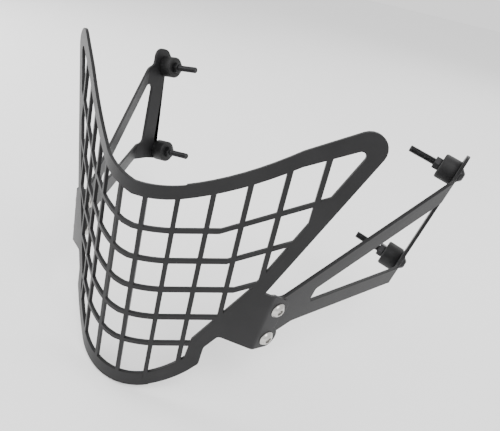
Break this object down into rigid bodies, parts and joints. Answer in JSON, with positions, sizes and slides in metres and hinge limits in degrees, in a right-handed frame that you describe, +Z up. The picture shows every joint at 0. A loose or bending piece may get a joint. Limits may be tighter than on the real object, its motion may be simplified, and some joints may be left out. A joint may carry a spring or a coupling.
{
  "type": "motorcycle headlight guard",
  "caption": "Black sheet-metal headlight guard: a bent grille on two triangular side brackets, with bolts, rubber bushes and screws.",
  "frame": {"origin": "on the plane of symmetry, half-way between the nose and the backs of the ears, at the level of the lowest point of the bottom rim", "axes": "-Y the way the nose faces, +X towards the right-hand bracket as seen from the front, +Z up"},
  "size_m": [0.3116, 0.2241, 0.2125],
  "materials": {
    "powder_coat": "satin black powder coat over steel sheet",
    "black_steel": "black oxide",
    "rubber": "matt moulded",
    "bright_steel": "bare, lightly worn"
  },
  "bodies": {
    "root": {"guard_grille": "powder_coat", "bracket_left": "powder_coat", "bracket_right": "powder_coat", "mount_bolt_left_upper": "black_steel", "mount_washer_left_upper": "black_steel", "mount_bush_left_upper": "rubber", "mount_nut_left_upper": "black_steel", "tab_screw_left_upper": "bright_steel", "tab_nut_left_upper": "bright_steel", "mount_bolt_left_lower": "black_steel", "mount_washer_left_lower": "black_steel", "mount_bush_left_lower": "rubber", "mount_nut_left_lower": "black_steel", "tab_screw_left_lower": "bright_steel", "tab_nut_left_lower": "bright_steel", "mount_bolt_right_upper": "black_steel", "mount_washer_right_upper": "black_steel", "mount_bush_right_upper": "rubber", "mount_nut_right_upper": "black_steel", "tab_screw_right_upper": "bright_steel", "tab_nut_right_upper": "bright_steel", "mount_bolt_right_lower": "black_steel", "mount_washer_right_lower": "black_steel", "mount_bush_right_lower": "rubber", "mount_nut_right_lower": "black_steel", "tab_screw_right_lower": "bright_steel", "tab_nut_right_lower": "bright_steel"}
  },
  "joints": []
}
